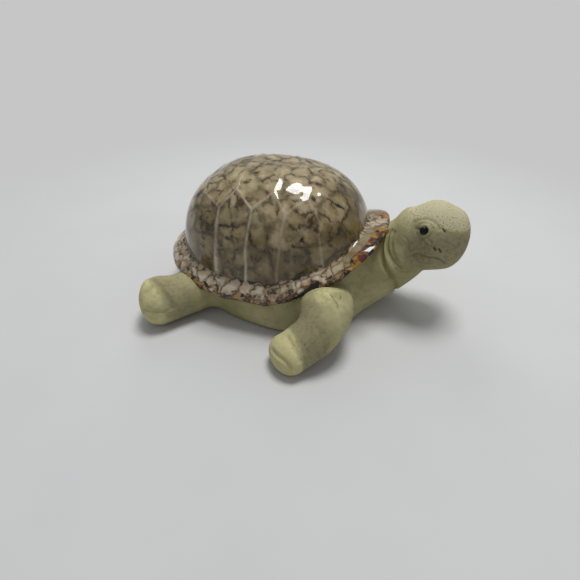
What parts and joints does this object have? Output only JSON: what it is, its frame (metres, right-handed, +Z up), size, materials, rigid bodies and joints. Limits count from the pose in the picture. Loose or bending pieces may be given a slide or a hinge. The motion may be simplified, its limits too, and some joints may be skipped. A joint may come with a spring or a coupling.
{
  "type": "turtle figurine",
  "caption": "Ceramic tortoise ornament with a glossy flared shell, a matt clay body, raised head and splayed legs.",
  "frame": {"origin": "on the flat belly, straight below the middle of the shell", "axes": "+X towards the nose, +Y towards the animal's left, +Z up"},
  "size_m": [0.2007, 0.188, 0.0893],
  "materials": {
    "shell_glaze": "glossy mottled glaze",
    "clay": "matt bisque",
    "eye_glaze": "glossy black"
  },
  "bodies": {
    "root": {"carapace": "shell_glaze", "body": "clay", "head_and_neck": "clay", "front_left_leg": "clay", "front_right_leg": "clay", "rear_left_leg": "clay", "rear_right_leg": "clay", "tail": "clay", "left_eye": "eye_glaze", "right_eye": "eye_glaze"}
  },
  "joints": []
}
